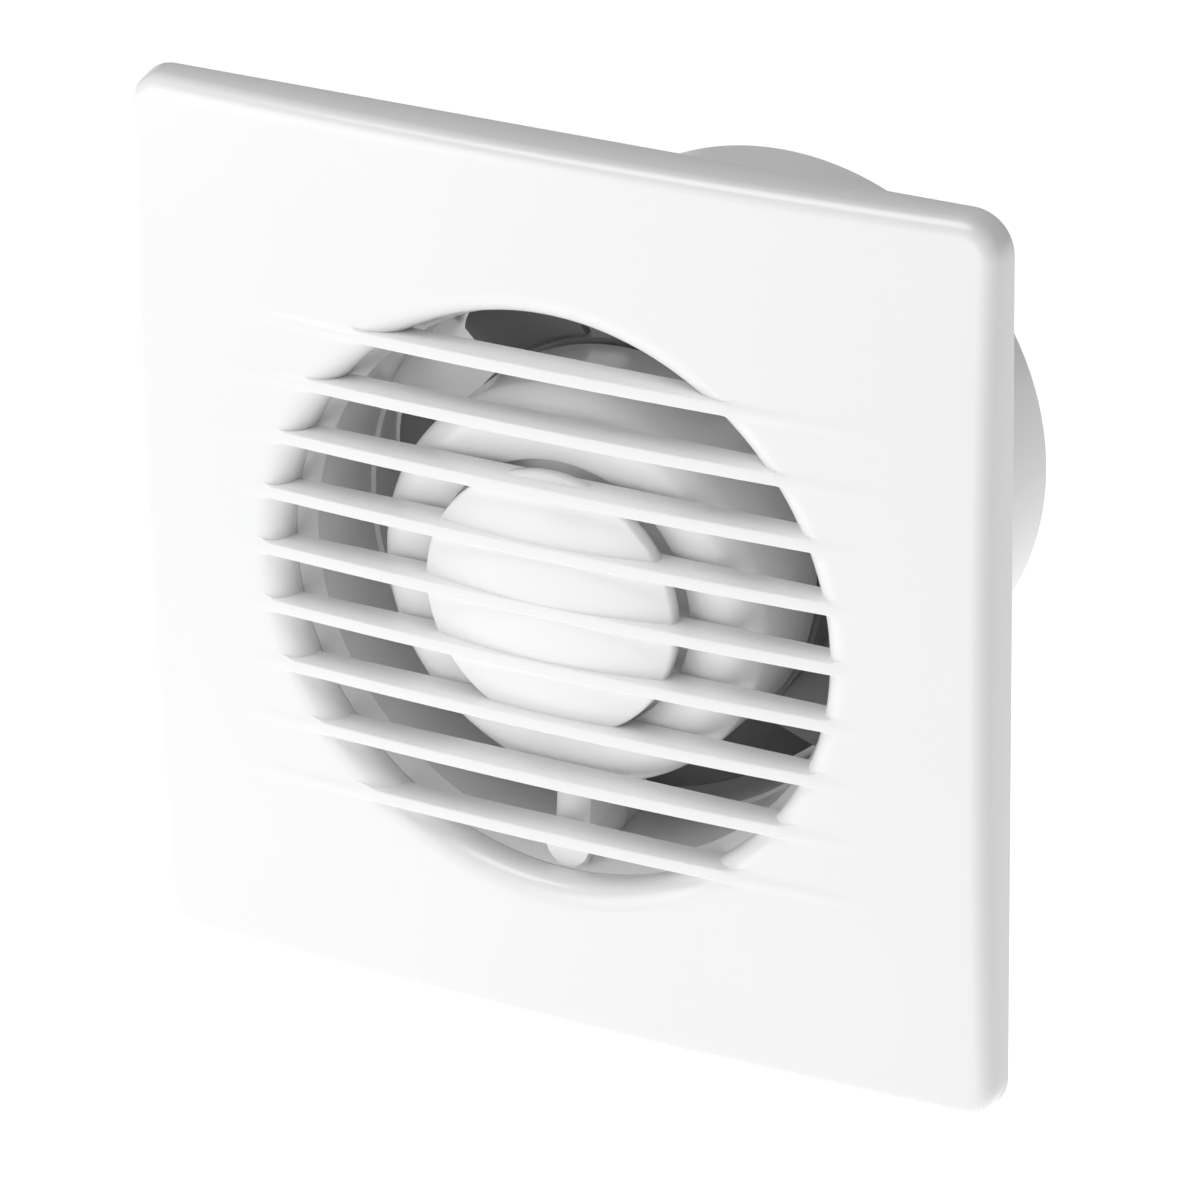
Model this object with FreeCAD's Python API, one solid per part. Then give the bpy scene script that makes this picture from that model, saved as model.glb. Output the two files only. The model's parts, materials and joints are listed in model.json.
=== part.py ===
"""A wall-mounted bathroom extractor fan for a round duct, one STEP file per sub-part, in millimetres.

The origin is the centre of the back of the casing, on the wall. The duct runs along +Y, into
the wall, the room is on -Y, and +Z is up.
"""
import FreeCAD
import Part
import math
import os

# Front cover: a shallow square tray with a domed face and a round air opening.
PLATE = 158.0             # side of the square, at the wall
PLATE_CORNER = 7.0        # plan radius of the corners
FACE_RISE = 11.5          # height of the domed face above the wall, at the middle
DOME_RADIUS = 1100.0      # radius of the spherical face
SIDE_DRAFT = 0.075        # how much each side leans in, per millimetre of height
EDGE_ROUND = 3.2          # rounding between the face and the sides
COVER_WALL = 2.0
RIM_GAP = 0.3             # the cover's rim stops just short of the wall
OPENING_R = 50.0          # throat of the air opening
LIP_ROUND = 4.5           # quarter-round at the mouth of the throat
THROAT_BACK = -4.6        # back edge of the throat, in front of the casing's collar

# Grille bars and the button at their middle, moulded with the cover.
BAR_COUNT = 9
BAR_PITCH = 10.35
BAR_THICK = 2.2
BAR_BACK = -5.3           # flat back of the bars
BAR_RISE = 12.1           # height of the bars' fronts above the wall, at the middle
BAR_TIP_X = 61.0          # where a bar's raised front sinks into the face
BUTTON_R = 23.0
BUTTON_RISE = 11.8
BUTTON_SAG = 3.0          # how far the button's rim lies behind its middle
BUTTON_BACK = -6.4
BUTTON_WALL = 1.8
PEG_AT = 62.0             # pegs that hold the cover, near its corners
PEG_R = 1.9
PEG_END = -0.6
PEG_CLEARANCE = 0.05
DIAGONAL = math.sqrt(0.5)  # sine and cosine of 45 degrees, for the middle of a quarter-round

# Casing: back flange, collar and duct spigot.
FLANGE_HALF = 75.4
FLANGE_THICK = 1.6
COLLAR_FRONT = -4.4
COLLAR_R = 51.6
SPIGOT_R = 49.6
SPIGOT_END = 76.0
BORE_R = 48.3
INLET_R = 50.0            # the collar's bore is a cone, this wide at its front
INLET_BACK = -0.4         # where the cone meets the straight bore
BORE_STEP_Y = 17.0        # the bore narrows a little here, where the impeller runs
BORE_STEP = 0.6
SPIGOT_CHAMFER = 1.0
WALL_HOLE_AT = 53.0
WALL_HOLE_R = 2.3
SOCKET_R = 3.8
SOCKET_FRONT = -4.4

# Motor housing and the arm that carries it.
HOUSING_R = 35.0
HOUSING_WALL = 1.8
HOUSING_FRONT = -4.6
HOUSING_BACK = 18.6
HOUSING_ROUND = 5.5
BOSS_GAP = 0.6            # what is left of the housing's front over the motor screws
ARM_WIDTH = 6.3
ARM_NOSE_R = 4.2          # radius of the arm's rounded front
ARM_HEAD_END = 9.0        # the head ends here and the thinner web goes on
ARM_WEB = 5.4
ARM_BACK = 18.4
ARM_TOP_Z = -33.6
ARM_TOP_Y = -2.6          # the arm's front at the housing, leaning forwards to ...
ARM_FOOT_Y = -4.4         # ... its front at the bore
FOOT_R = 4.0              # the round foot at the arm's end
FOOT_Z = -45.6
FOOT_END = 9.0

# Shaded-pole motor.
ROTOR_R = 10.0
AIR_GAP = 0.35
STACK_Y = (2.5, 13.5)
STACK_HALF = 16.0
LEG_WIDTH = 6.0
LEG_Z = -24.0             # middle of the leg that carries the coil
COIL_HALF = 8.5
BOBBIN_WALL = 0.8
COIL_BUILD = 1.8
SHAFT_R = 1.5
SHAFT_FRONT = -1.7
SHAFT_END = 41.0
BUSH_R = 3.4
BUSH_CLEARANCE = 0.03
BRACKET_HALF = 5.0
BRACKET_THICK = 1.2
FRONT_BRACKET_Y = -1.4    # outer faces of the two brackets
REAR_BRACKET_Y = 16.8
MOTOR_SCREW_X = 13.2
MOTOR_SCREW_R = 1.5
LEAD_R = 0.8
LEAD_X = 1.15

# Impeller, right behind the housing.
BLADE_COUNT = 7
IMPELLER_HUB_R = 35.6
IMPELLER_TIP_R = 46.9
IMPELLER_FRONT = 19.6
IMPELLER_BACK = 40.0
IMPELLER_WALL = 1.5
BLADE_THICK = 1.6
BLADE_REACH = 15.5        # half of a blade's length round the hub
BLADE_CAMBER = 2.6
BLADE_ROOT = (32.0, 8.2)  # distance from the axis and rise of the section inside the hub
BLADE_END = (49.0, 6.2)   # the same for the section beyond the tip circle
BLADE_TURN = 12.0         # the first blade stands this many degrees round from +Z
INSERT_R = 4.0
BOSS_LENGTH = 12.0
WEB_FRONT = 2.6           # the hub's web lies between these two distances from its back
WEB_BACK = 0.8
RIB_COUNT = 6
RIB_DEPTH = 9.0
NUT_ACROSS = 5.5
NUT_THICK = 2.4

# Terminal block, cable clamp and cable entry, on the flange below the opening.
TERMINAL_X = (-14.0, 6.0)
TERMINAL_Z = (-70.0, -57.0)
TERMINAL_FRONT = -7.0
WIRE_Y = -4.0             # the wires' height in the block
WIRE_WAY_R = 2.0
BARREL_BORE_R = 1.2
WELL_IN = 3.5             # screw wells from the block's ends
WELL_R = 1.8
ENTRY_X = 30.0
ENTRY_Z = -62.0
ENTRY_R = 5.0
GROMMET_BORE = 3.2
CLAMP_X = 16.0
CLAMP_HALF_Z = 8.0
CLAMP_HALF_X = 2.5
CLAMP_FRONT = -5.8
CLAMP_ARCH_R = 3.0
CLAMP_SCREW_R = 1.2

AXIS = FreeCAD.Vector(0, 1, 0)
ORIGIN = FreeCAD.Vector(0, 0, 0)


def vec(x, y, z):
    return FreeCAD.Vector(x, y, z)


def cyl(radius, y0, y1, x=0.0, z=0.0):
    """A cylinder along the duct."""
    return Part.makeCylinder(radius, y1 - y0, vec(x, y0, z), AXIS)


def ring(outer, inner, y0, y1, x=0.0, z=0.0):
    return cyl(outer, y0, y1, x, z).cut(cyl(inner, y0 - 1, y1 + 1, x, z))


def block(x0, x1, y0, y1, z0, z1):
    return Part.makeBox(x1 - x0, y1 - y0, z1 - z0, vec(x0, y0, z0))


def turned(profile):
    """A solid of revolution about the duct's axis, from edges in the XY plane."""
    face = Part.Face(Part.Wire(profile))
    return face.revolve(ORIGIN, AXIS, 360)


def line(a, b):
    return Part.makeLine(vec(a[0], a[1], 0), vec(b[0], b[1], 0))


def arc(a, middle, b):
    points = [vec(p[0], p[1], 0) for p in (a, middle, b)]
    return Part.Arc(*points).toShape()


def polyline(points):
    closed = points + points[:1]
    return [line(a, b) for a, b in zip(closed, closed[1:])]


def rounded_square(half, corner, y):
    """A closed wire: a square with round corners, across the duct's axis."""
    flat = half - corner
    edges = []
    for quarter in range(4):
        turn = math.radians(90 * quarter)
        ends = [(flat, half), (-flat, half)]
        start, stop = [rotate_xz(x, z, turn) for x, z in ends]
        edges.append(Part.makeLine(vec(start[0], y, start[1]), vec(stop[0], y, stop[1])))
        bow = half - corner * (1 - DIAGONAL)
        bend = [(-flat, half), (-bow, bow), (-half, flat)]
        points = [rotate_xz(x, z, turn) for x, z in bend]
        edges.append(Part.Arc(*[vec(x, y, z) for x, z in points]).toShape())
    return Part.Wire(edges)


def rotate_xz(x, z, turn):
    cos, sin = math.cos(turn), math.sin(turn)
    return (x * cos - z * sin, x * sin + z * cos)


def dome(rise, radius=DOME_RADIUS):
    """The ball whose front surface is the domed face."""
    return Part.makeSphere(radius, vec(0, radius - rise, 0))


def face_y(distance, rise=FACE_RISE):
    """Where the domed face lies, at a distance from its middle."""
    return DOME_RADIUS - rise - math.sqrt(DOME_RADIUS ** 2 - distance ** 2)


def tray(half, corner, back, depth):
    """A block with leaning sides, as deep as the cover before its face is domed."""
    lean = SIDE_DRAFT * depth
    back_wire = rounded_square(half, corner, back)
    front_wire = rounded_square(half - lean, corner - lean / 2, back - depth)
    return Part.makeLoft([back_wire, front_wire], True, True)


def lip():
    """The turned rim of the air opening: a quarter-round mouth and a short throat."""
    mouth = OPENING_R + LIP_ROUND
    face = face_y(mouth)
    centre_y = face + LIP_ROUND
    inner = LIP_ROUND - COVER_WALL
    overlap = 1.0
    profile = [
        line((OPENING_R, THROAT_BACK), (OPENING_R, centre_y)),
        arc((OPENING_R, centre_y),
            (mouth - LIP_ROUND * DIAGONAL, centre_y - LIP_ROUND * DIAGONAL),
            (mouth, face)),
        line((mouth, face), (mouth + overlap, face + COVER_WALL / 3)),
        line((mouth + overlap, face + COVER_WALL / 3), (mouth + overlap, face + COVER_WALL * 2 / 3)),
        line((mouth + overlap, face + COVER_WALL * 2 / 3), (mouth, face + COVER_WALL)),
        arc((mouth, face + COVER_WALL),
            (mouth - inner * DIAGONAL, centre_y - inner * DIAGONAL),
            (mouth - inner, centre_y)),
        line((mouth - inner, centre_y), (mouth - inner, THROAT_BACK)),
        line((mouth - inner, THROAT_BACK), (OPENING_R, THROAT_BACK)),
    ]
    return turned(profile)


def corner_places(distance):
    return [(x, z) for x in (-distance, distance) for z in (-distance, distance)]


def cover_plate():
    """The domed tray, with its throat and the four pegs that hold it to the casing."""
    half = PLATE / 2
    depth = FACE_RISE + 3
    outer = tray(half, PLATE_CORNER, -RIM_GAP, depth).common(dome(FACE_RISE))
    front_edges = [e for e in outer.Edges if e.BoundBox.YMax < -RIM_GAP - 1 and e.BoundBox.YLength < 4]
    outer = outer.makeFillet(EDGE_ROUND, front_edges)
    hollow = tray(half - COVER_WALL, PLATE_CORNER - COVER_WALL, 1.0, depth + 1)
    hollow = hollow.common(dome(FACE_RISE - COVER_WALL, DOME_RADIUS - COVER_WALL))
    shell = outer.cut(hollow).cut(cyl(OPENING_R + LIP_ROUND, -20, 5))
    plate = shell.fuse(lip())
    for x, z in corner_places(PEG_AT):
        inside = face_y(math.hypot(x, z)) + COVER_WALL
        plate = plate.fuse(cyl(PEG_R, inside - 1.0, PEG_END, x, z))
    return plate.removeSplitter()


def behind_bars():
    """Everything behind the bars: a flat back, the throat, the round mouth and the domed face."""
    mouth = OPENING_R + LIP_ROUND
    centre_y = face_y(mouth) + LIP_ROUND
    reach = math.hypot(BAR_TIP_X, BAR_COUNT * BAR_PITCH / 2) + 1
    return turned([
        line((0, BAR_BACK), (OPENING_R, BAR_BACK)),
        line((OPENING_R, BAR_BACK), (OPENING_R, centre_y)),
        arc((OPENING_R, centre_y),
            (mouth - LIP_ROUND * DIAGONAL, centre_y - LIP_ROUND * DIAGONAL),
            (mouth, face_y(mouth))),
        arc((mouth, face_y(mouth)), ((mouth + reach) / 2, face_y((mouth + reach) / 2)),
            (reach, face_y(reach))),
        line((reach, face_y(reach)), (reach, 0)),
        line((reach, 0), (0, 0)),
        line((0, 0), (0, BAR_BACK)),
    ])


def cover_bars():
    """The grille bars. Their fronts stand a little proud and sink into the face past the opening."""
    bow_radius = BAR_TIP_X ** 2 / (2 * (BAR_RISE + face_y(BAR_TIP_X)))
    bow = Part.makeCylinder(bow_radius, PLATE, vec(0, bow_radius - BAR_RISE, -PLATE / 2), vec(0, 0, 1))
    behind = behind_bars()
    envelope = cyl(BUTTON_R, -20, 0).common(button_ball())
    bars = []
    for index in range(BAR_COUNT):
        middle = (index - (BAR_COUNT - 1) / 2) * BAR_PITCH
        blank = block(-BAR_TIP_X, BAR_TIP_X, -20, 0, middle - BAR_THICK / 2, middle + BAR_THICK / 2)
        sunk = face_y(abs(middle)) + FACE_RISE
        bar = blank.common(bow.translated(vec(0, sunk, 0)))
        bar = largest(bar.cut(behind))
        bars.append(largest(bar.cut(envelope)))
    return Part.makeCompound(bars)


def button_ball():
    radius = (BUTTON_R ** 2 + BUTTON_SAG ** 2) / (2 * BUTTON_SAG)
    return Part.makeSphere(radius, vec(0, radius - BUTTON_RISE, 0))


def cover_button():
    """The domed round button at the middle of the grille, hollow behind."""
    solid = cyl(BUTTON_R, -20, BUTTON_BACK).common(button_ball())
    hollow = cyl(BUTTON_R - BUTTON_WALL, -20, 0).common(button_ball().translated(vec(0, BUTTON_WALL, 0)))
    return solid.cut(hollow)


def casing():
    """The back flange and its collar, with peg sockets, wall screw holes and a cable entry."""
    flange = Part.Face(rounded_square(FLANGE_HALF, PLATE_CORNER - COVER_WALL, -FLANGE_THICK))
    body = flange.extrude(vec(0, FLANGE_THICK, 0))
    body = body.fuse(cyl(COLLAR_R, COLLAR_FRONT, -0.5))
    for x, z in corner_places(PEG_AT):
        body = body.fuse(cyl(SOCKET_R, SOCKET_FRONT, -0.5, x, z))
    body = body.cut(bore())
    for x, z in corner_places(PEG_AT):
        body = body.cut(cyl(PEG_R + PEG_CLEARANCE, -10, 1, x, z))
    for x, z in corner_places(WALL_HOLE_AT):
        body = body.cut(cyl(WALL_HOLE_R, -10, 1, x, z))
    body = body.cut(cyl(ENTRY_R, -10, 1, ENTRY_X, ENTRY_Z))
    return body.cut(lead_channel()).removeSplitter()


def duct_spigot():
    """The tube that goes through the wall, with a chamfered end."""
    end = SPIGOT_END - SPIGOT_CHAMFER
    tube = turned(polyline([
        (BORE_R - 8, 0), (SPIGOT_R, 0), (SPIGOT_R, end),
        (SPIGOT_R - SPIGOT_CHAMFER, SPIGOT_END), (BORE_R - 8, SPIGOT_END)]))
    return tube.cut(bore())


def bore():
    """The air way: a conical inlet, and a small step where the impeller runs."""
    narrow = BORE_R - BORE_STEP
    beyond_front, beyond_end = COLLAR_FRONT - 5, SPIGOT_END + 5
    return turned(polyline([
        (0, beyond_front), (INLET_R, beyond_front), (INLET_R, COLLAR_FRONT), (BORE_R, INLET_BACK),
        (BORE_R, BORE_STEP_Y), (narrow, BORE_STEP_Y + BORE_STEP), (narrow, beyond_end), (0, beyond_end)]))


def motor_housing():
    """A round cup with a rounded front edge, open behind, with two screw bosses."""
    inner = HOUSING_R - HOUSING_WALL
    inner_round = HOUSING_ROUND - HOUSING_WALL
    inner_front = HOUSING_FRONT + HOUSING_WALL
    outside = turned(cup_profile(HOUSING_R, HOUSING_FRONT, HOUSING_BACK, HOUSING_ROUND))
    inside = turned(cup_profile(inner, inner_front, HOUSING_BACK + 1, inner_round))
    cup = outside.cut(inside)
    for x in (-MOTOR_SCREW_X, MOTOR_SCREW_X):
        cup = cup.fuse(cyl(2 * MOTOR_SCREW_R, inner_front - 0.5, FRONT_BRACKET_Y, x))
        cup = cup.cut(cyl(MOTOR_SCREW_R, HOUSING_FRONT + BOSS_GAP, 1, x))
    return cup.cut(lead_channel()).removeSplitter()


def cup_profile(radius, front, back, round_radius):
    middle = (radius - round_radius * (1 - DIAGONAL), front + round_radius * (1 - DIAGONAL))
    return [
        line((0, front), (radius - round_radius, front)),
        arc((radius - round_radius, front), middle, (radius, front + round_radius)),
        line((radius, front + round_radius), (radius, back)),
        line((radius, back), (0, back)),
        line((0, back), (0, front)),
    ]


def arm_front(z):
    """Where the arm's front lies, at a height."""
    slope = (ARM_FOOT_Y - ARM_TOP_Y) / (BORE_R + ARM_TOP_Z)
    return ARM_TOP_Y + slope * (ARM_TOP_Z - z)


def support_arm():
    """The deep arm below the housing: a head with a rounded front, a thinner web and a round foot."""
    low, high = -INLET_R - 1, ARM_TOP_Z + 3
    half = ARM_WIDTH / 2
    side = [vec(-half, arm_front(low), low), vec(-half, ARM_HEAD_END, low),
            vec(-half, ARM_HEAD_END, high), vec(-half, arm_front(high), high)]
    head = Part.Face(Part.makePolygon(side + side[:1])).extrude(vec(ARM_WIDTH, 0, 0))
    lean = vec(0, arm_front(high) - arm_front(low), high - low)
    nose = Part.makeCylinder(ARM_NOSE_R, lean.Length, vec(0, arm_front(low) + ARM_NOSE_R, low), lean)
    behind_nose = head.translated(vec(0, ARM_NOSE_R, 0))
    head = head.common(nose.fuse(behind_nose))
    web = block(-ARM_WEB / 2, ARM_WEB / 2, 0, ARM_BACK, low, high)
    foot = cyl(FOOT_R, COLLAR_FRONT, FOOT_END, 0, FOOT_Z)
    arm = head.fuse(web).fuse(foot).common(bore())
    arm = arm.cut(cyl(INLET_R + 1, COLLAR_FRONT - 5, COLLAR_FRONT))
    arm = arm.cut(turned(cup_profile(HOUSING_R, HOUSING_FRONT, HOUSING_BACK, HOUSING_ROUND)))
    arm = arm.cut(cyl(HOUSING_R - HOUSING_ROUND, -10, 5))
    return largest(arm.cut(lead_channel()).removeSplitter())


def lead_line():
    """Both ends of the leads' straight, leaning run, as (y, z)."""
    return (3.4, -31.4), (-3.5, -56.6)


def lead_channel():
    """A slot round the two leads, through the housing's wall, the arm and the collar."""
    (y0, z0), (y1, z1) = lead_line()
    half_x = LEAD_X + LEAD_R + 0.3
    half_y = LEAD_R + 0.3
    corners = [vec(-half_x, y0 - half_y, z0), vec(half_x, y0 - half_y, z0),
               vec(half_x, y0 + half_y, z0), vec(-half_x, y0 + half_y, z0)]
    face = Part.Face(Part.makePolygon(corners + corners[:1]))
    return face.extrude(vec(0, y1 - y0, z1 - z0))


def motor_leads():
    (y0, z0), (y1, z1) = lead_line()
    run = vec(0, y1 - y0, z1 - z0)
    leads = [Part.makeCylinder(LEAD_R, run.Length, vec(x, y0, z0), run) for x in (-LEAD_X, LEAD_X)]
    return Part.makeCompound(leads)


def largest(shape):
    return max(shape.Solids, key=lambda s: s.Volume)


def motor_rear_cover():
    """The disc that closes the housing behind the motor."""
    disc = cyl(HOUSING_R - HOUSING_WALL - 0.05, HOUSING_BACK - 1.7, HOUSING_BACK - 0.3)
    disc = disc.cut(cyl(BUSH_R + 1, 0, 30))
    for x in (-MOTOR_SCREW_X, MOTOR_SCREW_X):
        disc = disc.cut(cyl(3.2, 0, 30, x))
    return disc


def stator_laminations():
    """A C-shaped core: a square round the rotor, two legs, and a bar through the coil."""
    y0, y1 = STACK_Y
    foot = LEG_Z - LEG_WIDTH / 2
    core = block(-STACK_HALF, STACK_HALF, y0, y1, foot, STACK_HALF)
    window_half = STACK_HALF - LEG_WIDTH
    core = core.cut(block(-window_half, window_half, 0, 20, LEG_Z + LEG_WIDTH / 2, -STACK_HALF + 2))
    core = core.cut(cyl(ROTOR_R + AIR_GAP, 0, 20))
    for x in (-MOTOR_SCREW_X, MOTOR_SCREW_X):
        core = core.cut(cyl(MOTOR_SCREW_R + 0.1, 0, 20, x))
    return core


def around_leg(half_x, grow_from, grow_to):
    """A square sleeve round the coil's leg."""
    y0, y1 = STACK_Y
    half_z = LEG_WIDTH / 2
    outer = block(-half_x, half_x, y0 - grow_to, y1 + grow_to,
                  LEG_Z - half_z - grow_to, LEG_Z + half_z + grow_to)
    inner = block(-half_x - 1, half_x + 1, y0 - grow_from, y1 + grow_from,
                  LEG_Z - half_z - grow_from, LEG_Z + half_z + grow_from)
    return outer.cut(inner)


def coil_bobbin():
    """A tube with two end flanges, on the bottom bar of the core."""
    tube = around_leg(COIL_HALF, 0, BOBBIN_WALL)
    flange = around_leg(BOBBIN_WALL / 2, 0, BOBBIN_WALL + COIL_BUILD)
    at = COIL_HALF - BOBBIN_WALL / 2
    return tube.fuse(flange.translated(vec(at, 0, 0))).fuse(flange.translated(vec(-at, 0, 0)))


def coil_winding():
    return around_leg(COIL_HALF - BOBBIN_WALL, BOBBIN_WALL, BOBBIN_WALL + COIL_BUILD - 0.2)


def bearing_bracket(outer_y, stack_y):
    """A strip across the rotor on two spacers, with a seat for the bush."""
    inwards = 1 if stack_y > outer_y else -1
    plate_y = sorted((outer_y, outer_y + inwards * BRACKET_THICK))
    strip = block(-STACK_HALF, STACK_HALF, plate_y[0], plate_y[1], -BRACKET_HALF, BRACKET_HALF)
    spacer_y = sorted((outer_y, stack_y))
    for x in (-MOTOR_SCREW_X, MOTOR_SCREW_X):
        strip = strip.fuse(cyl(2.7, spacer_y[0], spacer_y[1], x))
        strip = strip.cut(cyl(MOTOR_SCREW_R + 0.1, -10, 30, x))
    return strip.cut(cyl(BUSH_R, -10, 30)).removeSplitter()


def bush(y0, y1):
    return ring(BUSH_R, SHAFT_R + BUSH_CLEARANCE, y0, y1)


def motor_screws():
    """Two long screws, from behind the rear bracket into the housing's bosses."""
    screws = []
    for x in (-MOTOR_SCREW_X, MOTOR_SCREW_X):
        shank = cyl(MOTOR_SCREW_R, HOUSING_FRONT + BOSS_GAP + 0.2, REAR_BRACKET_Y, x)
        head = cyl(2.7, REAR_BRACKET_Y, REAR_BRACKET_Y + 1.4, x)
        slot = block(x - 3, x + 3, REAR_BRACKET_Y + 0.8, REAR_BRACKET_Y + 2, -0.35, 0.35)
        screws.append(shank.fuse(head).cut(slot).removeSplitter())
    return Part.makeCompound(screws)


def rotor_core():
    """A short cylinder with end rings, on the shaft."""
    y0, y1 = STACK_Y
    core = cyl(ROTOR_R, y0, y1).fuse(cyl(ROTOR_R - 1.5, y0 - 0.6, y1 + 0.4))
    return core.cut(cyl(SHAFT_R, -10, 30)).removeSplitter()


def rotor_shaft():
    return cyl(SHAFT_R, SHAFT_FRONT, SHAFT_END)


def impeller_blade():
    """One cambered blade, lofted outwards from inside the hub and trimmed to the tip circle."""
    sections = []
    for height, rise in (BLADE_ROOT, BLADE_END):
        sections.append(blade_section(height, rise))
    blade = Part.makeLoft(sections, True, True)
    span = ring(IMPELLER_TIP_R, IMPELLER_HUB_R, IMPELLER_FRONT, IMPELLER_BACK)
    return largest(blade.common(span))


def blade_section(height, rise):
    """Two arcs a wall apart, from the leading edge at the front to the trailing edge."""
    middle_y = (IMPELLER_FRONT + IMPELLER_BACK) / 2
    front = (BLADE_REACH, middle_y - rise)
    back = (-BLADE_REACH, middle_y + rise)
    top = (-BLADE_CAMBER / 3, middle_y - BLADE_CAMBER)

    def curve(shift):
        points = [vec(x, y + shift, height) for x, y in (front, top, back)]
        return Part.Arc(*points).toShape(), points

    near, near_points = curve(-BLADE_THICK / 2)
    far, far_points = curve(BLADE_THICK / 2)
    sides = [Part.makeLine(near_points[i], far_points[i]) for i in (0, 2)]
    return Part.Wire(Part.__sortEdges__([near, far] + sides))


def impeller_hub():
    """A cup that continues the motor housing, with a ribbed web and a boss."""
    back = IMPELLER_BACK - WEB_BACK
    inner = IMPELLER_HUB_R - IMPELLER_WALL
    rim = ring(IMPELLER_HUB_R, inner, IMPELLER_FRONT, IMPELLER_BACK)
    web = cyl(inner + 1, IMPELLER_BACK - WEB_FRONT, back)
    boss = cyl(INSERT_R + 2.5, IMPELLER_BACK - BOSS_LENGTH, back)
    body = rim.fuse(web).fuse(boss)
    half = IMPELLER_WALL / 2
    for index in range(RIB_COUNT):
        rib = block(INSERT_R + 1, inner + 1, IMPELLER_BACK - RIB_DEPTH, back - half, -half, half)
        rib.rotate(ORIGIN, AXIS, 360 / RIB_COUNT * index)
        body = body.fuse(rib)
    return body.cut(cyl(INSERT_R, 0, IMPELLER_BACK + 1)).removeSplitter()


def impeller_blades():
    """The ring of blades, each ending on the hub's wall."""
    blades = []
    for index in range(BLADE_COUNT):
        blade = impeller_blade()
        blade.rotate(ORIGIN, AXIS, 360 / BLADE_COUNT * index + BLADE_TURN)
        blades.append(blade)
    return Part.makeCompound(blades)


def impeller_insert():
    return ring(INSERT_R, SHAFT_R, IMPELLER_BACK - BOSS_LENGTH, IMPELLER_BACK - 1.5)


def impeller_nut():
    """A hexagon nut on the end of the shaft."""
    across = NUT_ACROSS / math.sqrt(3)
    corners = [vec(across * math.cos(math.radians(60 * k)), 0, across * math.sin(math.radians(60 * k)))
               for k in range(6)]
    face = Part.Face(Part.makePolygon(corners + corners[:1]))
    nut = face.extrude(vec(0, NUT_THICK, 0)).cut(cyl(SHAFT_R, -1, 5))
    return nut.translated(vec(0, IMPELLER_BACK - 1.5, 0))


def terminal_places():
    span = TERMINAL_X[1] - TERMINAL_X[0]
    return [TERMINAL_X[0] + span * share for share in (0.25, 0.75)]


def screw_wells():
    """Places of the four terminal screws."""
    z0, z1 = TERMINAL_Z
    return [(x, z) for x in terminal_places() for z in (z0 + WELL_IN, z1 - WELL_IN)]


def upright(radius, x, z0, z1):
    """A cylinder along a wire of the terminal block."""
    return Part.makeCylinder(radius, z1 - z0, vec(x, WIRE_Y, z0), vec(0, 0, 1))


def terminal_block():
    """A two-way block with a wire way and a screw well for each pole."""
    z0, z1 = TERMINAL_Z
    body = block(TERMINAL_X[0], TERMINAL_X[1], TERMINAL_FRONT, -FLANGE_THICK, z0, z1)
    for x in terminal_places():
        body = body.cut(upright(WIRE_WAY_R, x, z0 - 1, z1 + 1))
    for x, z in screw_wells():
        body = body.cut(cyl(WELL_R, TERMINAL_FRONT - 1, WIRE_Y, x, z))
    groove_x = sum(TERMINAL_X) / 2
    groove = block(groove_x - 0.8, groove_x + 0.8, TERMINAL_FRONT - 1, WIRE_Y - 0.5, z0 - 1, z1 + 1)
    return body.cut(groove)


def terminal_barrels():
    """The brass tubes that clamp the wires."""
    z0, z1 = TERMINAL_Z
    barrels = []
    for x in terminal_places():
        tube = upright(WIRE_WAY_R - 0.05, x, z0 + 1, z1 - 1)
        barrels.append(tube.cut(upright(BARREL_BORE_R, x, z0, z1)))
    tubes = Part.makeCompound(barrels)
    for x, z in screw_wells():
        tubes = tubes.cut(cyl(BARREL_BORE_R - 0.1, TERMINAL_FRONT, WIRE_Y, x, z))
    return tubes


def slotted_screw(radius, head_radius, tip, seat, top, x, z):
    """A short screw along the duct's axis: tip inside, head between seat and top."""
    body = cyl(radius, seat, tip, x, z).fuse(cyl(head_radius, top, seat, x, z))
    slot = block(x - head_radius, x + head_radius, top - 1, top + 0.5, z - 0.3, z + 0.3)
    return body.cut(slot).removeSplitter()


def terminal_screws():
    return Part.makeCompound([slotted_screw(BARREL_BORE_R - 0.15, WELL_R - 0.2, WIRE_Y - 0.6,
                                            WIRE_Y - 1.95, WIRE_Y - 2.9, x, z)
                              for x, z in screw_wells()])


def cable_grommet():
    """A rubber ring in the cable entry, with a lip each side of the flange."""
    body = cyl(ENTRY_R, -FLANGE_THICK, 0, ENTRY_X, ENTRY_Z)
    body = body.fuse(cyl(ENTRY_R + 1.5, -FLANGE_THICK - 1.4, -FLANGE_THICK, ENTRY_X, ENTRY_Z))
    return body.cut(cyl(GROMMET_BORE, -10, 5, ENTRY_X, ENTRY_Z)).removeSplitter()


def clamp_screw_places():
    reach = CLAMP_HALF_Z - 2.4
    return [(CLAMP_X, ENTRY_Z - reach), (CLAMP_X, ENTRY_Z + reach)]


def cable_clamp():
    """A bar over the cable, on two feet, with an arched middle."""
    bar = block(CLAMP_X - CLAMP_HALF_X, CLAMP_X + CLAMP_HALF_X, CLAMP_FRONT, -FLANGE_THICK,
                ENTRY_Z - CLAMP_HALF_Z, ENTRY_Z + CLAMP_HALF_Z)
    start = vec(CLAMP_X - 2 * CLAMP_HALF_X, -FLANGE_THICK, ENTRY_Z)
    bar = bar.cut(Part.makeCylinder(CLAMP_ARCH_R, 4 * CLAMP_HALF_X, start, vec(1, 0, 0)))
    for x, z in clamp_screw_places():
        bar = bar.cut(cyl(CLAMP_SCREW_R, CLAMP_FRONT - 1, 0, x, z))
    return bar


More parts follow.
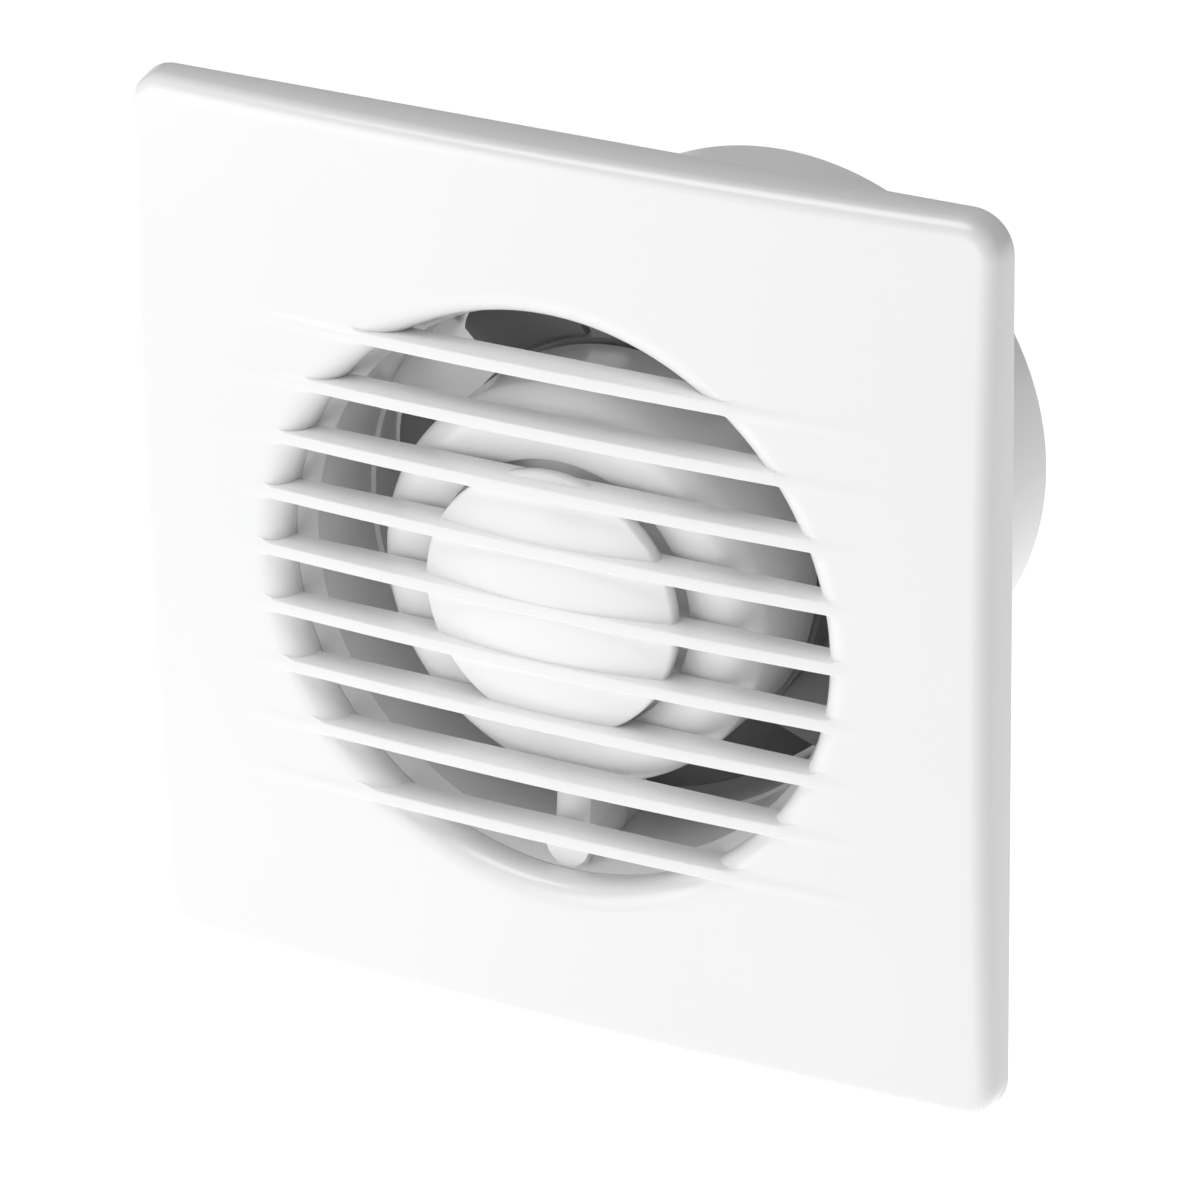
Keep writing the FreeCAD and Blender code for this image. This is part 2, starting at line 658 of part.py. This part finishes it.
def cable_clamp_screws():
    return Part.makeCompound([slotted_screw(CLAMP_SCREW_R, 2.1, -FLANGE_THICK - 0.2, CLAMP_FRONT,
                                            CLAMP_FRONT - 1.1, x, z)
                              for x, z in clamp_screw_places()])


def build():
    return {
        "grille_plate": cover_plate(),
        "grille_bars": cover_bars(),
        "grille_button": cover_button(),
        "casing": casing(),
        "duct_spigot": duct_spigot(),
        "motor_housing": motor_housing(),
        "support_arm": support_arm(),
        "motor_rear_cover": motor_rear_cover(),
        "stator_laminations": stator_laminations(),
        "coil_bobbin": coil_bobbin(),
        "coil_winding": coil_winding(),
        "front_bearing_bracket": bearing_bracket(FRONT_BRACKET_Y, STACK_Y[0]),
        "rear_bearing_bracket": bearing_bracket(REAR_BRACKET_Y, STACK_Y[1]),
        "front_bush": bush(FRONT_BRACKET_Y - 0.6, STACK_Y[0] - 1.0),
        "rear_bush": bush(STACK_Y[1] + 0.9, REAR_BRACKET_Y + 1.2),
        "motor_screws": motor_screws(),
        "motor_leads": motor_leads(),
        "rotor_core": rotor_core(),
        "rotor_shaft": rotor_shaft(),
        "impeller_hub": impeller_hub(),
        "impeller_blades": impeller_blades(),
        "impeller_insert": impeller_insert(),
        "impeller_nut": impeller_nut(),
        "terminal_block": terminal_block(),
        "terminal_barrels": terminal_barrels(),
        "terminal_screws": terminal_screws(),
        "cable_grommet": cable_grommet(),
        "cable_clamp": cable_clamp(),
        "cable_clamp_screws": cable_clamp_screws(),
    }


def main():
    os.makedirs("parts", exist_ok=True)
    for name, shape in build().items():
        valid = shape.isValid() and len(shape.Solids) > 0
        print(name, "solids", len(shape.Solids), "valid", valid, "volume", round(shape.Volume))
        shape.exportStep("parts/" + name + ".step")


main()
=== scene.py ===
"""Looks of the bathroom extractor fan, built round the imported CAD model. Metres, +Z up, room on -Y."""

import json
import math

import bmesh
import bpy
from mathutils import Matrix, Vector


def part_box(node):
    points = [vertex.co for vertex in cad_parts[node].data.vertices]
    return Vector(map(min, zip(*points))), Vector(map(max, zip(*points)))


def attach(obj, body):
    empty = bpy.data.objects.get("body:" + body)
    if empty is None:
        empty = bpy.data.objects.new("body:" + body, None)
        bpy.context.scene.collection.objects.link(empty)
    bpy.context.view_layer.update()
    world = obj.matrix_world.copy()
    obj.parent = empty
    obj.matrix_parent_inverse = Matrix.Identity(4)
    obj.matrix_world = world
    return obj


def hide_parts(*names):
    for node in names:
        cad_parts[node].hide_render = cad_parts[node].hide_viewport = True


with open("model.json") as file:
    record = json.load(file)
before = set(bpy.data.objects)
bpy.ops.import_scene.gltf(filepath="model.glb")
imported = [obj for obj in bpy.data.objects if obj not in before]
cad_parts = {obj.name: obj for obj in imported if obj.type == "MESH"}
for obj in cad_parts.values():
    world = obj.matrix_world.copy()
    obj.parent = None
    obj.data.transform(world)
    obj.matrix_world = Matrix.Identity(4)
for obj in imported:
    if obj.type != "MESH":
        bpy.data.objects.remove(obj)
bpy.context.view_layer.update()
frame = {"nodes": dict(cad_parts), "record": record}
MM = 0.001
MIDDLE_SET_IN = 0.3       # a soft corner's middle point is set in by this share of its size

# Places and sizes read from the frame.
PLATE_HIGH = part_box("grille_plate")[1]
BARS_LOW, BARS_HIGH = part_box("grille_bars")
BUTTON_LOW, BUTTON_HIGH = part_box("grille_button")
HOUSING_LOW, HOUSING_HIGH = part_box("motor_housing")

# The cover plate's sizes, in metres.
HALF = PLATE_HIGH.x
CORNER = 7 * MM
RISE = 11.5 * MM
DOME = 1100 * MM          # the face's radius of curvature
DRAFT = 0.075             # how far the side leans in, for each metre of height
EDGE_ROUND = 3.2 * MM
WALL = 2 * MM
OPENING = 50 * MM
LIP = 4.5 * MM
MOUTH = OPENING + LIP     # the face starts at this radius
FACE_SLOPE = math.asin(HALF / DOME)
THROAT_BACK = -4.6 * MM
RIM = -0.3 * MM           # the cover's rim, just short of the wall
RIM_ROUND = 0.35 * MM
RIM_BREAK = 0.2 * MM      # the rim's inner corner
INNER_CORNER = 1.6 * MM   # between the backs of the side and the face
SIDE_STEPS = 64           # along each side of the cover
CORNER_STEPS = 14
LIP_STEPS = 14
FACE_STEPS = 26
EDGE_STEPS = 10
BACK_STEPS = 8

# The bars.
BAR_COUNT = 9
BAR_THICK = 2.2 * MM
BAR_PITCH = (BARS_HIGH.z - BARS_LOW.z - BAR_THICK) / (BAR_COUNT - 1)
BAR_RISE = -BARS_LOW.y
BAR_BACK = BARS_HIGH.y
BAR_TIP = BARS_HIGH.x
BAR_ROUND = 0.28 * MM
BAR_STEPS = 120           # from a bar's middle to its tip
WALL_STEP = 0.25 * MM     # between stations near the throat
NEAR_STEPS = range(-10, 25)       # where those stations are, counted out from its wall
BACK_REACH = 0.4 * MM     # a bar keeps its full depth this far into the throat's wall
LIP_OVERLAP = 0.6 * MM    # past there its back is this deep in the lip
LEAST_DEPTH = 0.5 * MM
BLEND_START = 0.35        # share of the lip's width where a bar starts to turn into a ridge
RIDGE_REACH = 1.6         # a ridge is this much wider than its bar
RIDGE_HEIGHT = 0.7        # and only this share as proud
RIDGE_FOOT = 0.3 * MM     # the ridge's outermost points lie this far under the face

# The turned pieces.
AXIS_GAP = 0.01 * MM      # they start this close to the axis
BUTTON_SAG = 3.0 * MM
BUTTON_WALL = 1.8 * MM
BUTTON_ROUND = 0.7 * MM
BUTTON_BREAK = 0.3 * MM   # the back corner
CAP_STEPS = 40
BOWL_STEPS = 8
BUTTON_STEPS = 288        # round the axis
HOUSING_ROUND = 5.5 * MM
HOUSING_WALL = 1.8 * MM
HOUSING_BREAK = 0.4 * MM  # the back corner
GROOVE = (20.5 * MM, 23.6 * MM)   # a round groove in the housing's front, behind the button's edge
GROOVE_DEPTH = 1.6 * MM
GROOVE_BREAK = 0.15 * MM
HOUSING_STEPS = 192       # round the axis

FLOOR_Z = -0.45


# ---------------------------------------------------------------- mesh tools

def make_object(name, vertices, faces, material, body, sharp_angle):
    """A smooth mesh piece that rides on a body."""
    mesh = bpy.data.meshes.new(name)
    mesh.from_pydata(vertices, [], faces)
    mesh.validate()
    tool = bmesh.new()
    tool.from_mesh(mesh)
    bmesh.ops.recalc_face_normals(tool, faces=tool.faces)
    tool.to_mesh(mesh)
    tool.free()
    mesh.polygons.foreach_set("use_smooth", [True] * len(mesh.polygons))
    mesh.set_sharp_from_angle(angle=math.radians(sharp_angle))
    mesh.materials.append(material)
    piece = bpy.data.objects.new(name, mesh)
    bpy.context.scene.collection.objects.link(piece)
    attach(piece, body)
    return piece


def stitch(rows, closed_rows=True):
    """Quads between rows of points; the last row joins the first when closed_rows is true."""
    count = len(rows[0])
    vertices = [point for row in rows for point in row]
    faces = []
    pairs = len(rows) if closed_rows else len(rows) - 1
    for r in range(pairs):
        here, there = r * count, ((r + 1) % len(rows)) * count
        for c in range(count):
            after = (c + 1) % count
            faces.append((here + c, here + after, there + after, there + c))
    return vertices, faces


def lathe(profile, steps):
    """A closed ring about the duct's axis, from (radius, y) points in order."""
    turns = [2 * math.pi * s / steps for s in range(steps)]
    return stitch([[(radius * math.cos(t), y, radius * math.sin(t)) for t in turns]
                   for radius, y in profile])


# ---------------------------------------------------------------- materials

def new_material(name):
    """A material with its nodes, its links and its shader node."""
    material = bpy.data.materials.new(name)
    material.use_nodes = True
    nodes, links = material.node_tree.nodes, material.node_tree.links
    return material, nodes, links, nodes["Principled BSDF"]


def noise(nodes, links, scale, detail, source):
    """A noise value from 0 to 1 over the object's own coordinates."""
    node = nodes.new("ShaderNodeTexNoise")
    node.inputs["Scale"].default_value = scale
    node.inputs["Detail"].default_value = detail
    links.new(source, node.inputs["Vector"])
    return node.outputs["Fac"]


def ramp(nodes, links, value, stops):
    """A colour picked by a value, from (position, colour) stops."""
    node = nodes.new("ShaderNodeValToRGB")
    elements = node.color_ramp.elements
    while len(elements) < len(stops):
        elements.new(0.5)
    for element, (position, colour) in zip(elements, stops):
        element.position = position
        element.color = (*colour, 1)
    links.new(value, node.inputs["Fac"])
    return node.outputs["Color"]


def spread(nodes, links, value, low, high):
    """A value from 0 to 1 spread between low and high."""
    node = nodes.new("ShaderNodeMapRange")
    node.inputs["To Min"].default_value = low
    node.inputs["To Max"].default_value = high
    links.new(value, node.inputs["Value"])
    return node.outputs["Result"]


def bump(nodes, links, height, distance, strength, under=None):
    """A bumped normal, laid over another where one is given."""
    node = nodes.new("ShaderNodeBump")
    node.inputs["Distance"].default_value = distance
    node.inputs["Strength"].default_value = strength
    links.new(height, node.inputs["Height"])
    if under is not None:
        links.new(under, node.inputs["Normal"])
    return node.outputs["Normal"]


def moulded_plastic(name, light, dark, rough):
    """Injection-moulded plastic: faint tone drift, slow waviness, fine grain and uneven gloss."""
    material, nodes, links, shader = new_material(name)
    place = nodes.new("ShaderNodeTexCoord").outputs["Object"]
    drift = noise(nodes, links, 14, 2, place)
    fine = noise(nodes, links, 1900, 3, place)
    slow = noise(nodes, links, 42, 1, place)
    smudge = noise(nodes, links, 95, 5, place)
    links.new(ramp(nodes, links, drift, [(0.3, dark), (0.7, light)]), shader.inputs["Base Color"])
    links.new(spread(nodes, links, smudge, rough * 0.85, rough * 1.2), shader.inputs["Roughness"])
    wavy = bump(nodes, links, slow, 0.06 * MM, 0.25)
    links.new(bump(nodes, links, fine, 0.012 * MM, 0.12, wavy), shader.inputs["Normal"])
    shader.inputs["IOR"].default_value = 1.53
    return material


def bare_metal(name, light, dark, rough):
    """Bright metal with fine scratches and uneven tone."""
    material, nodes, links, shader = new_material(name)
    place = nodes.new("ShaderNodeTexCoord").outputs["Object"]
    tone = noise(nodes, links, 160, 4, place)
    fine = noise(nodes, links, 2600, 2, place)
    links.new(ramp(nodes, links, tone, [(0.3, dark), (0.7, light)]), shader.inputs["Base Color"])
    links.new(spread(nodes, links, tone, rough * 0.8, rough * 1.3), shader.inputs["Roughness"])
    links.new(bump(nodes, links, fine, 0.01 * MM, 0.3), shader.inputs["Normal"])
    shader.inputs["Metallic"].default_value = 1.0
    return material


def banded(name, light, dark, rough, scale, axis, metallic):
    """Stacked sheets or turns of wire: fine bands along one axis."""
    material, nodes, links, shader = new_material(name)
    place = nodes.new("ShaderNodeTexCoord").outputs["Object"]
    wave = nodes.new("ShaderNodeTexWave")
    wave.wave_type = "BANDS"
    wave.bands_direction = axis
    wave.inputs["Scale"].default_value = scale
    wave.inputs["Distortion"].default_value = 0.15
    links.new(place, wave.inputs["Vector"])
    band = wave.outputs["Fac"]
    links.new(ramp(nodes, links, band, [(0.15, dark), (0.6, light)]), shader.inputs["Base Color"])
    links.new(spread(nodes, links, band, rough * 1.3, rough), shader.inputs["Roughness"])
    links.new(bump(nodes, links, band, 0.1 * MM, 0.5), shader.inputs["Normal"])
    shader.inputs["Metallic"].default_value = metallic
    return material


def rubber(name):
    """Dull black rubber with a faint grey bloom."""
    material, nodes, links, shader = new_material(name)
    place = nodes.new("ShaderNodeTexCoord").outputs["Object"]
    bloom = noise(nodes, links, 220, 4, place)
    fine = noise(nodes, links, 2200, 2, place)
    colours = [(0.3, (0.022, 0.022, 0.023)), (0.75, (0.045, 0.045, 0.046))]
    links.new(ramp(nodes, links, bloom, colours), shader.inputs["Base Color"])
    links.new(spread(nodes, links, bloom, 0.55, 0.8), shader.inputs["Roughness"])
    links.new(bump(nodes, links, fine, 0.02 * MM, 0.3), shader.inputs["Normal"])
    return material


def all_materials():
    """Every material by its name: one for each slot, and a brighter copy of the white for the housing, as
    painted light for the light the bars keep off it.
    """
    return {
        "white_abs": moulded_plastic("white_abs", (0.895, 0.897, 0.900), (0.875, 0.878, 0.880), 0.22),
        # the housing's white is a brighter copy of the cover's: painted light, making up for the light
        # the bars keep off the housing
        "housing_white_painted_light": moulded_plastic("housing_white_painted_light", (0.955, 0.957, 0.960), (0.940, 0.942, 0.945), 0.20),
        # the impeller's dark grey was set to match the dark inside of the duct: partly the plastic's own
        # grey, partly painted shade
        "impeller_grey": moulded_plastic("impeller_grey", (0.26, 0.26, 0.26), (0.22, 0.22, 0.22), 0.34),
        "terminal_white": moulded_plastic("terminal_white", (0.84, 0.84, 0.81), (0.79, 0.79, 0.76), 0.45),
        "bobbin_nylon": moulded_plastic("bobbin_nylon", (0.80, 0.77, 0.66), (0.73, 0.70, 0.58), 0.42),
        "lead_pvc": moulded_plastic("lead_pvc", (0.30, 0.30, 0.32), (0.24, 0.24, 0.26), 0.40),
        "core_steel": banded("core_steel", (0.26, 0.26, 0.27), (0.10, 0.10, 0.11), 0.42, 320, "Y", 0.9),
        "enamelled_copper": banded("enamelled_copper", (0.66, 0.27, 0.10), (0.30, 0.10, 0.04),
                                   0.3, 640, "X", 0.85),
        "zinc_steel": bare_metal("zinc_steel", (0.74, 0.75, 0.77), (0.6, 0.61, 0.63), 0.28),
        "shaft_steel": bare_metal("shaft_steel", (0.70, 0.70, 0.71), (0.62, 0.62, 0.63), 0.2),
        "rotor_metal": bare_metal("rotor_metal", (0.58, 0.59, 0.60), (0.42, 0.43, 0.44), 0.35),
        "bronze": bare_metal("bronze", (0.56, 0.38, 0.18), (0.42, 0.27, 0.12), 0.45),
        "brass": bare_metal("brass", (0.80, 0.62, 0.28), (0.66, 0.48, 0.19), 0.26),
        "grommet_rubber": rubber("grommet_rubber"),
    }


# ---------------------------------------------------------------- the front cover

def face_height(distance):
    """Where the domed face lies, as y, at a distance from its middle."""
    return DOME - RISE - math.sqrt(DOME ** 2 - distance ** 2)


def lip_height(distance):
    """The face, or the quarter-round lip where the distance falls on it."""
    if distance >= MOUTH:
        return face_height(distance)
    reach = min(MOUTH - distance, LIP)
    return face_height(MOUTH) + LIP - math.sqrt(LIP ** 2 - reach ** 2)


def side_lean(y):
    """How far in the side has leaned at a height above the rim."""
    return DRAFT * (PLATE_HIGH.y - y)


def angles(start, stop, steps):
    """Evenly spaced angles in radians, between two in degrees, with both ends."""
    return [math.radians(start + (stop - start) * k / steps) for k in range(steps + 1)]


def raised(point, y):
    """A flat point put at a height from the wall."""
    return (point.x, y, point.y)


def square_outline():
    """Points round the cover's side at the wall, each with its outward direction."""
    flat = HALF - CORNER
    outline = []
    for quarter in range(4):
        turn = Matrix.Rotation(math.radians(90 * quarter), 2)
        for s in range(SIDE_STEPS):
            share = s / SIDE_STEPS
            outline.append((turn @ Vector((HALF, -flat + 2 * flat * share)), turn @ Vector((1, 0))))
        for angle in angles(0, 90, CORNER_STEPS)[:-1]:
            way = Vector((math.cos(angle), math.sin(angle)))
            outline.append((turn @ (Vector((flat, flat)) + way * CORNER), turn @ way))
    return outline


def circle_row(outline, radius, y):
    """A round row with a point for each point of the outline."""
    return [raised(p.normalized() * radius, y) for p, n in outline]


def lip_rows(outline, radius, turns):
    """Round rows along the curve between the throat and the face."""
    middle = face_height(MOUTH) + LIP
    return [circle_row(outline, MOUTH - radius * math.cos(turn), middle - radius * math.sin(turn))
            for turn in turns]


def face_row(outer, share, sink=0.0):
    """A row part of the way from the mouth to the outer points, this far behind the face."""
    points = [p.normalized() * (MOUTH + (p.length - MOUTH) * share) for p in outer]
    return [raised(p, face_height(p.length) + sink) for p in points]


def edge_rows(outline, shoulder):
    """The rounded edge between the face and the side."""
    rows = []
    for k in range(1, EDGE_STEPS + 1):
        turn = FACE_SLOPE + (math.pi / 2 - FACE_SLOPE) * k / EDGE_STEPS
        out = EDGE_ROUND * (math.sin(turn) - math.sin(FACE_SLOPE))
        drop = EDGE_ROUND * (math.cos(FACE_SLOPE) - math.cos(turn))
        rows.append([raised(p + n * out, face_height(p.length) + drop)
                     for p, (_, n) in zip(shoulder, outline)])
    return rows


def side_row(outline, inset, y):
    """A row that follows the side at one height."""
    return [raised(p - n * inset, y) for p, n in outline]


def rim_rows(outline):
    """The foot of the side and the rim, with soft corners."""
    return [side_row(outline, side_lean(RIM - RIM_ROUND), RIM - RIM_ROUND),
            side_row(outline, RIM_ROUND * MIDDLE_SET_IN, RIM - RIM_ROUND * MIDDLE_SET_IN),
            side_row(outline, RIM_ROUND, RIM),
            side_row(outline, WALL - RIM_BREAK, RIM),
            side_row(outline, WALL, RIM - RIM_BREAK)]


def back_rows(outline):
    """The back of the face, from the corner behind the side in to the mouth."""
    corner = [p - n * (WALL + INNER_CORNER / 2) for p, n in outline]
    outer = [p - n * (WALL + INNER_CORNER) for p, n in outline]
    rows = [face_row(corner, 1, WALL + INNER_CORNER / 2)]
    rows += [face_row(outer, 1 - k / BACK_STEPS, WALL) for k in range(BACK_STEPS + 1)]
    return rows


def cover_rows():
    """Rows of points from the back of the throat, over the face and rim, and back inside."""
    outline = square_outline()
    start = EDGE_ROUND * (1 - math.sin(FACE_SLOPE))
    shoulder = [p - n * (start + side_lean(face_height(p.length))) for p, n in outline]
    rows = [circle_row(outline, OPENING, THROAT_BACK)]
    rows += lip_rows(outline, LIP, angles(0, 90, LIP_STEPS))
    rows += [face_row(shoulder, k / FACE_STEPS) for k in range(1, FACE_STEPS + 1)]
    rows += edge_rows(outline, shoulder)
    rows += rim_rows(outline)
    rows += back_rows(outline)
    rows += lip_rows(outline, LIP - WALL, angles(90, 0, BACK_STEPS)[1:])
    rows.append(circle_row(outline, OPENING + WALL, THROAT_BACK))
    return rows


def build_cover_plate(material):
    """The square domed plate with its round, lipped opening."""
    vertices, faces = stitch(cover_rows())
    piece = make_object("cover_plate", vertices, faces, material, "cover", sharp_angle=50)
    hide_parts("grille_plate")


# ---------------------------------------------------------------- the bars

def bar_stations(middle):
    """Places along a bar, closer together where it meets the throat."""
    wall = math.sqrt(OPENING ** 2 - middle ** 2)
    stations = {BAR_TIP * s / BAR_STEPS for s in range(-BAR_STEPS, BAR_STEPS + 1)}
    for side in (-1, 1):
        for s in NEAR_STEPS:
            stations.add(side * (wall + s * WALL_STEP))
    return sorted(x for x in stations if abs(x) <= BAR_TIP)


def bar_edge(front, back):
    """Half of a bar's section: a flat side and a soft front edge, as (z, y)."""
    half = BAR_THICK / 2
    corner = min(BAR_ROUND, (back - front) * 0.45)
    points = [(half, back), (half, front + corner)]
    for turn in angles(15, 90, 5):
        points.append((half - corner * (1 - math.cos(turn)), front + corner * (1 - math.sin(turn))))
    return points


def ridge_edge(x, middle, side, proud):
    """Half of a low soft ridge on the domed face, with as many points as bar_edge."""
    reach = RIDGE_REACH * BAR_THICK / 2
    points = []
    for share in (1.1, 1.0, 0.85, 0.7, 0.55, 0.4, 0.2, 0.08):
        z = reach * share
        height = proud * math.cos(math.pi / 2 * min(share, 1)) ** 2
        sink = RIDGE_FOOT if share > 1 else 0.0
        points.append((z, face_height(math.hypot(x, middle + side * z)) - height + sink))
    return points


def bar_section(x, middle, front, back, blend):
    """Points round a bar at one station: a bar over the opening, a ridge on the face."""
    proud = max(face_height(math.hypot(x, middle)) - front, 0.0) * RIDGE_HEIGHT
    halves = []
    for side in (1, -1):
        pairs = zip(bar_edge(front, back), ridge_edge(x, middle, side, proud))
        mixed = [(z + (rz - z) * blend, y + (ry - y) * blend) for (z, y), (rz, ry) in pairs]
        halves.append([(x, y, middle + side * z) for z, y in mixed])
    return halves[0] + halves[1][::-1]


def ridge_share(distance):
    """0 over the opening and 1 on the face, with a smooth change across the lip."""
    share = (distance - OPENING - LIP * BLEND_START) / (LIP * (1 - BLEND_START))
    share = min(max(share, 0), 1)
    return share * share * (3 - 2 * share)


def bar_back(distance, front):
    """How far back a bar reaches: its full depth in the opening, and just into the lip past it."""
    if distance < OPENING + BACK_REACH:
        return BAR_BACK
    return max(lip_height(distance) + LIP_OVERLAP, front + LEAST_DEPTH)


def bar_rows(middle, bow):
    """The sections of one bar, from tip to tip."""
    sunk = face_height(abs(middle)) + RISE
    near = max(abs(middle) - BAR_THICK / 2, 0)
    rows = []
    for x in bar_stations(middle):
        distance = math.hypot(x, near)
        front = -BAR_RISE + x ** 2 / (2 * bow) + sunk
        rows.append(bar_section(x, middle, front, bar_back(distance, front), ridge_share(distance)))
    return rows


def build_bars(material):
    """All the bars, as one piece with closed ends."""
    bow = BAR_TIP ** 2 / (2 * (BAR_RISE + face_height(BAR_TIP)))
    vertices, faces = [], []
    for index in range(BAR_COUNT):
        rows = bar_rows((index - (BAR_COUNT - 1) / 2) * BAR_PITCH, bow)
        points, quads = stitch(rows, closed_rows=False)
        first, last = len(vertices), len(vertices) + len(points) - 1
        vertices += points
        faces += [tuple(first + i for i in quad) for quad in quads]
        faces.append(tuple(first + i for i in range(len(rows[0]))))
        faces.append(tuple(last - i for i in range(len(rows[0]))))
    piece = make_object("cover_bars", vertices, faces, material, "cover", sharp_angle=42)
    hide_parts("grille_bars")


# ---------------------------------------------------------------- the button

def dome_points(front, ball, radius, steps):
    """Points on a dome from its middle outwards, as (radius, y)."""
    stations = [AXIS_GAP + (radius - AXIS_GAP) * k / steps for k in range(steps + 1)]
    return [(r, front + ball - math.sqrt(ball ** 2 - r ** 2)) for r in stations]


def build_button(material):
    """The domed button: a soft-edged cap, hollow behind."""
    radius, front, back = BUTTON_HIGH.x, BUTTON_LOW.y, BUTTON_HIGH.y
    ball = (radius ** 2 + BUTTON_SAG ** 2) / (2 * BUTTON_SAG)
    cap = dome_points(front, ball, radius - BUTTON_ROUND, CAP_STEPS)
    edge_y = cap[-1][1]
    for angle in (25, 50, 75, 90):
        turn = math.radians(angle)
        cap.append((radius - BUTTON_ROUND * (1 - math.sin(turn)),
                    edge_y + BUTTON_ROUND * (1 - math.cos(turn))))
    inner = radius - BUTTON_WALL
    rim = [(radius, back - BUTTON_BREAK), (radius - BUTTON_BREAK, back), (inner, back)]
    bowl = dome_points(front + BUTTON_WALL, ball, inner, BOWL_STEPS)[::-1]
    vertices, faces = lathe(cap + rim + bowl, BUTTON_STEPS)
    piece = make_object("cover_button", vertices, faces, material, "cover", sharp_angle=50)
    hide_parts("grille_button")


# ---------------------------------------------------------------- motor housing

def housing_profile():
    """The cup's section from the middle of its front, round the outside and back within."""
    radius, front, back = HOUSING_HIGH.x, HOUSING_LOW.y, HOUSING_HIGH.y
    inner, flat = radius - HOUSING_WALL, radius - HOUSING_ROUND
    floor = front + GROOVE_DEPTH
    groove = [(GROOVE[0], front), (GROOVE[0], floor), (GROOVE[1], floor),
              (GROOVE[1], front + GROOVE_BREAK), (GROOVE[1] + GROOVE_BREAK, front)]
    corner = [(flat + HOUSING_ROUND * math.sin(turn), front + HOUSING_ROUND * (1 - math.cos(turn)))
              for turn in angles(0, 90, 15)]
    set_in = HOUSING_BREAK * MIDDLE_SET_IN
    foot = [(radius, back - HOUSING_BREAK), (radius - set_in, back - set_in),
            (radius - HOUSING_BREAK, back)]
    within = [(inner, back), (inner, front + HOUSING_ROUND), (flat, front + HOUSING_WALL),
              (AXIS_GAP, front + HOUSING_WALL)]
    return [(AXIS_GAP, front)] + groove + corner + foot + within


def build_housing(material):
    """The cup round the motor, with a big soft front edge."""
    vertices, faces = lathe(housing_profile(), HOUSING_STEPS)
    piece = make_object("motor_cup", vertices, faces, material, "housing", sharp_angle=50)
    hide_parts("motor_housing")


# ---------------------------------------------------------------- finish the CAD nodes

def dress_cad_nodes(materials):
    """Every CAD node that stays gets its slot's material, and soft edges where they show."""
    soft_edges = {"impeller_blades": 0.45, "impeller_hub": 0.4, "terminal_block": 0.25,
                  "cable_clamp": 0.3, "casing": 0.25}
    slots = {entry["node"]: entry["material_slot"] for entry in frame["record"]["subparts"]}
    for name, node in frame["nodes"].items():
        node.data.materials.clear()
        node.data.materials.append(materials[slots[name]])
        if name in soft_edges:
            bevel = node.modifiers.new("soft_edge", "BEVEL")
            bevel.width = soft_edges[name] * MM
            bevel.segments = 3
            bevel.limit_method = "ANGLE"
            bevel.angle_limit = math.radians(50)
            bevel.harden_normals = True


# ---------------------------------------------------------------- studio

def build_floor():
    """A wide pale floor that glows a little, as a studio's white sweep does."""
    material, nodes, links, shader = new_material("pale_floor")
    spot = nodes.new("ShaderNodeTexCoord").outputs["Object"]
    cloud = noise(nodes, links, 1.5, 2, spot)
    links.new(ramp(nodes, links, cloud, [(0.3, (0.93, 0.93, 0.93)), (0.7, (0.95, 0.95, 0.95))]),
              shader.inputs["Base Color"])
    shader.inputs["Roughness"].default_value = 0.9
    shader.inputs["Emission Color"].default_value = (1, 1, 1, 1)
    shader.inputs["Emission Strength"].default_value = 0.85
    bpy.ops.mesh.primitive_plane_add(size=40, location=(0, 0, FLOOR_Z))
    floor = bpy.context.object
    floor.name = "floor"
    floor.data.materials.append(material)


def add_area(name, spot, size, power):
    """A white rectangular lamp aimed at the middle of the fan, in watts."""
    light = bpy.data.lights.new(name, "AREA")
    light.shape = "RECTANGLE"
    light.size, light.size_y = size
    light.energy = power
    lamp = bpy.data.objects.new(name, light)
    lamp.location = spot
    lamp.rotation_euler = (-Vector(spot)).to_track_quat("-Z", "Y").to_euler()
    bpy.context.scene.collection.objects.link(lamp)


def build_lights():
    """A key from the left, a weak front light, a strong top light and a dim white world."""
    add_area("key", (-0.55, -0.62, 0.16), (0.5, 0.5), 1.75)
    add_area("front", (-0.1, -1.4, 0.1), (0.6, 0.6), 1.2)
    add_area("top", (-0.3, -0.5, 1.3), (0.9, 0.7), 9.0)
    world = bpy.data.worlds.new("studio")
    world.use_nodes = True
    background = world.node_tree.nodes["Background"]
    background.inputs["Color"].default_value = (1, 1, 1, 1)
    background.inputs["Strength"].default_value = 0.15
    bpy.context.scene.world = world


def build_camera():
    """Camera to the right of, and above, the fan's front."""
    yaw, pitch, roll = math.radians(29.07), math.radians(24.97), math.radians(-1.18)
    distance, aside, above = 1.1181, 0.00256, -0.00114
    back = Vector((math.sin(yaw) * math.cos(pitch), -math.cos(yaw) * math.cos(pitch), math.sin(pitch)))
    right = Vector((math.cos(yaw), math.sin(yaw), 0))
    up = back.cross(right)
    spun_right = right * math.cos(roll) + up * math.sin(roll)
    spun_up = up * math.cos(roll) - right * math.sin(roll)
    lens = bpy.data.cameras.new("camera")
    lens.sensor_width = 36
    lens.lens = 209.0
    lens.clip_start, lens.clip_end = 0.05, 60
    camera = bpy.data.objects.new("camera", lens)
    turn = Matrix((spun_right, spun_up, back)).transposed().to_4x4()
    camera.matrix_world = Matrix.Translation(back * distance + right * aside + up * above) @ turn
    bpy.context.scene.collection.objects.link(camera)
    bpy.context.scene.camera = camera


def main():
    build_camera()
    materials = all_materials()
    dress_cad_nodes(materials)
    build_cover_plate(materials["white_abs"])
    build_bars(materials["white_abs"])
    build_button(materials["white_abs"])
    # the housing gets the brighter white, which is painted light
    build_housing(materials["housing_white_painted_light"])
    build_floor()
    build_lights()
    bpy.context.scene.view_settings.view_transform = "Standard"


main()
